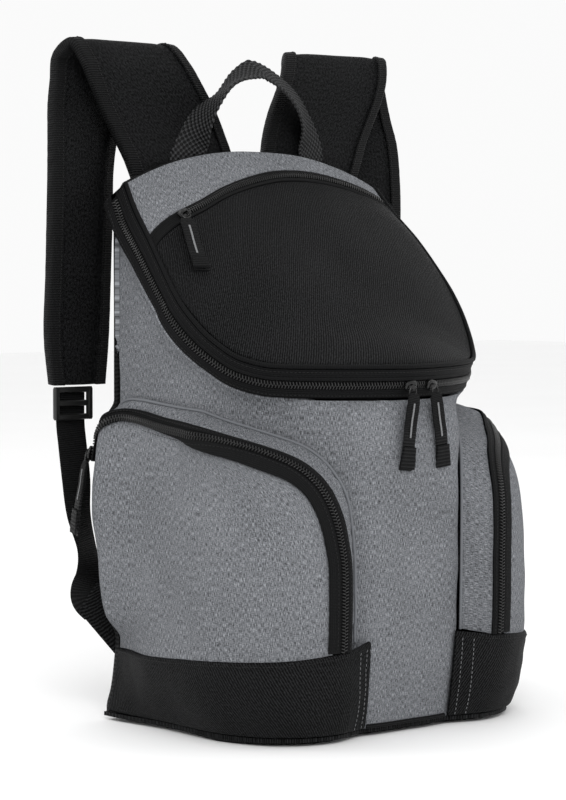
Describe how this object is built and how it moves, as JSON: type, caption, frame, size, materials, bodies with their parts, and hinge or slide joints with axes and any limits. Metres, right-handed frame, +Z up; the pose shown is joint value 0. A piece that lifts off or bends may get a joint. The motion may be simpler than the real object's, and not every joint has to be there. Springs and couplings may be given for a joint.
{
  "type": "cooler backpack",
  "caption": "Insulated daypack with a domed zip lid, two bulging zip side pockets, a black base, a grab handle and padded shoulder straps.",
  "frame": {"origin": "middle of the underside, on the surface that the bag stands on", "axes": "+Z up, -Y towards the front of the bag, +X to the right as the front is looked at"},
  "size_m": [0.3658, 0.2623, 0.5336],
  "materials": {
    "grey_cloth": "heather woven polyester, fine dark and light flecks",
    "black_twill": "coarse black polyester, diagonal weave",
    "black_cloth": "plain black woven polyester",
    "strap_cloth": "fine black twill over foam",
    "webbing": "ribbed and basket-woven black webbing",
    "zip_coil": "black nylon coil",
    "slider_metal": "dark painted zinc, worn bright at the edges",
    "buckle_plastic": "black moulded acetal"
  },
  "bodies": {
    "root": {"back_panel": "black_cloth", "body_shell": "grey_cloth", "bottom_panel": "black_twill", "carry_handle": "webbing", "front_binding": "black_cloth", "left_base": "black_twill", "left_base_wing": "black_twill", "left_lower_webbing": "webbing", "left_pocket_gusset": "grey_cloth", "left_pocket_pull": "webbing", "left_pocket_slider": "slider_metal", "left_pocket_zip_chain": "zip_coil", "left_pocket_zip_tape": "black_cloth", "left_shoulder_strap": "strap_cloth", "left_side_pocket": "grey_cloth", "left_strap_binding_inner": "webbing", "left_strap_binding_outer": "webbing", "left_strap_buckle": "buckle_plastic", "lid_back_panel": "grey_cloth", "lid_front_panel": "black_twill", "lid_piping": "black_cloth", "lid_pocket_pull": "webbing", "lid_pocket_slider": "slider_metal", "lid_pocket_zip_chain": "zip_coil", "lid_pocket_zip_tape": "black_cloth", "lid_pull_a": "webbing", "lid_pull_b": "webbing", "lid_slider_a": "slider_metal", "lid_slider_b": "slider_metal", "lid_zip_chain": "zip_coil", "lid_zip_tape": "black_cloth", "right_base": "black_twill", "right_base_wing": "black_twill", "right_lower_webbing": "webbing", "right_pocket_gusset": "grey_cloth", "right_pocket_pull": "webbing", "right_pocket_slider": "slider_metal", "right_pocket_zip_chain": "zip_coil", "right_pocket_zip_tape": "black_cloth", "right_shoulder_strap": "strap_cloth", "right_side_pocket": "grey_cloth", "right_strap_binding_inner": "webbing", "right_strap_binding_outer": "webbing", "right_strap_buckle": "buckle_plastic"}
  },
  "joints": []
}
